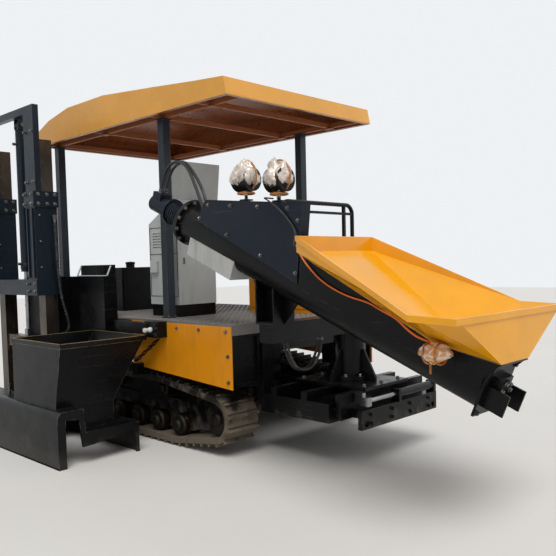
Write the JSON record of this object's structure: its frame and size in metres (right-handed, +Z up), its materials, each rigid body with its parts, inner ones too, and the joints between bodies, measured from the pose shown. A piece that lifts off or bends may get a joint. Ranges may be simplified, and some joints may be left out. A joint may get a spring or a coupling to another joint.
{
  "type": "slipform paver",
  "caption": "Tracked slipform kerb paver with canopy, console, swinging screw conveyor with feed hopper, and a kerb mould on a lifting side mast.",
  "frame": {"origin": "on the ground, at the middle of the machine's bounding box", "axes": "+X the way it drives, towards the feed hopper; +Y its left side, away from the kerb mould; +Z up"},
  "size_m": [5.6819, 2.916, 3.2343],
  "materials": {
    "track_steel": "worn rolled steel with dried mud",
    "roller_iron": "painted cast iron, oily",
    "black_frame": "semi-gloss black paint",
    "deck_grey": "dusty checker plate",
    "machine_yellow": "semi-gloss orange yellow paint",
    "canopy_ochre": "semi-gloss ochre yellow paint",
    "primer_red": "matt red-brown primer",
    "cabinet_grey": "powder coated light grey",
    "navy_panel": "satin navy paint",
    "slate_blue": "semi-gloss slate blue paint",
    "bare_steel": "bare ground steel, greased",
    "mould_charcoal": "satin charcoal paint, worn to metal at edges",
    "chain_steel": "oiled chain"
  },
  "bodies": {
    "machine": {"canopy_frame": "primer_red", "canopy_posts": "black_frame", "canopy_roof": "canopy_ochre", "console_cabinet": "cabinet_grey", "console_plinth": "black_frame", "deck_plate": "deck_grey", "engine": "black_frame", "engine_hood": "machine_yellow", "front_beam": "black_frame", "front_box_left": "black_frame", "front_box_right": "black_frame", "front_panel_left": "machine_yellow", "front_panel_right": "machine_yellow", "front_tray": "black_frame", "handrail": "black_frame", "hydraulic_tank": "black_frame", "lateral_tubes": "black_frame", "lifting_eyes": "canopy_ochre", "main_frame": "black_frame", "rear_panel_left": "machine_yellow", "rear_panel_right": "machine_yellow", "rollers_left": "roller_iron", "rollers_right": "roller_iron", "shift_barrel": "black_frame", "slide_rails": "black_frame", "tow_bracket": "black_frame", "tow_chain": "chain_steel", "track_frame_left": "black_frame", "track_frame_right": "black_frame", "track_left": "track_steel", "track_right": "track_steel", "valve_box": "black_frame"},
    "carriage": {"carriage": "black_frame", "shift_rod": "bare_steel"},
    "conveyor": {"turret_head": "black_frame", "conveyor_tube": "black_frame", "trough_plates": "black_frame", "discharge_chute": "cabinet_grey", "tail_bearing": "black_frame", "drive_motor": "navy_panel", "conveyor_guard": "navy_panel", "work_lamps": "black_frame", "feed_hopper": "machine_yellow"},
    "auger": {"auger": "bare_steel"},
    "console_lid": {"console_lid": "cabinet_grey"},
    "mast": {"mast_frame": "slate_blue", "mast_box": "black_frame", "lift_barrel": "slate_blue"},
    "mould": {"mould": "mould_charcoal", "mould_hopper": "mould_charcoal", "guide_columns": "bare_steel", "lift_rod": "bare_steel"}
  },
  "joints": [
    {"name": "conveyor_shift", "type": "slide", "parent": "machine", "child": "carriage", "axis": [0, 1, 0], "range_m": [-0.28, 0]},
    {"name": "conveyor_slew", "type": "hinge", "parent": "carriage", "child": "conveyor", "pos_m": [0.949, 0.522, 1], "axis": [0, 0, 1], "range_deg": [0, 40]},
    {"name": "auger_spin", "type": "hinge", "parent": "conveyor", "child": "auger", "pos_m": [0.607, -0.378, 1.706], "axis": [0.9285, 0, -0.3714], "continuous": true},
    {"name": "console_lid_hinge", "type": "hinge", "parent": "machine", "child": "console_lid", "pos_m": [-0.6145, 0.092, 2.214], "axis": [0, -1, 0], "range_deg": [0, 124]},
    {"name": "mast_shift", "type": "slide", "parent": "machine", "child": "mast", "axis": [0, -1, 0], "range_m": [0, 0.25]},
    {"name": "mould_lift", "type": "slide", "parent": "mast", "child": "mould", "axis": [0, 0, 1], "range_m": [0, 0.3]}
  ]
}
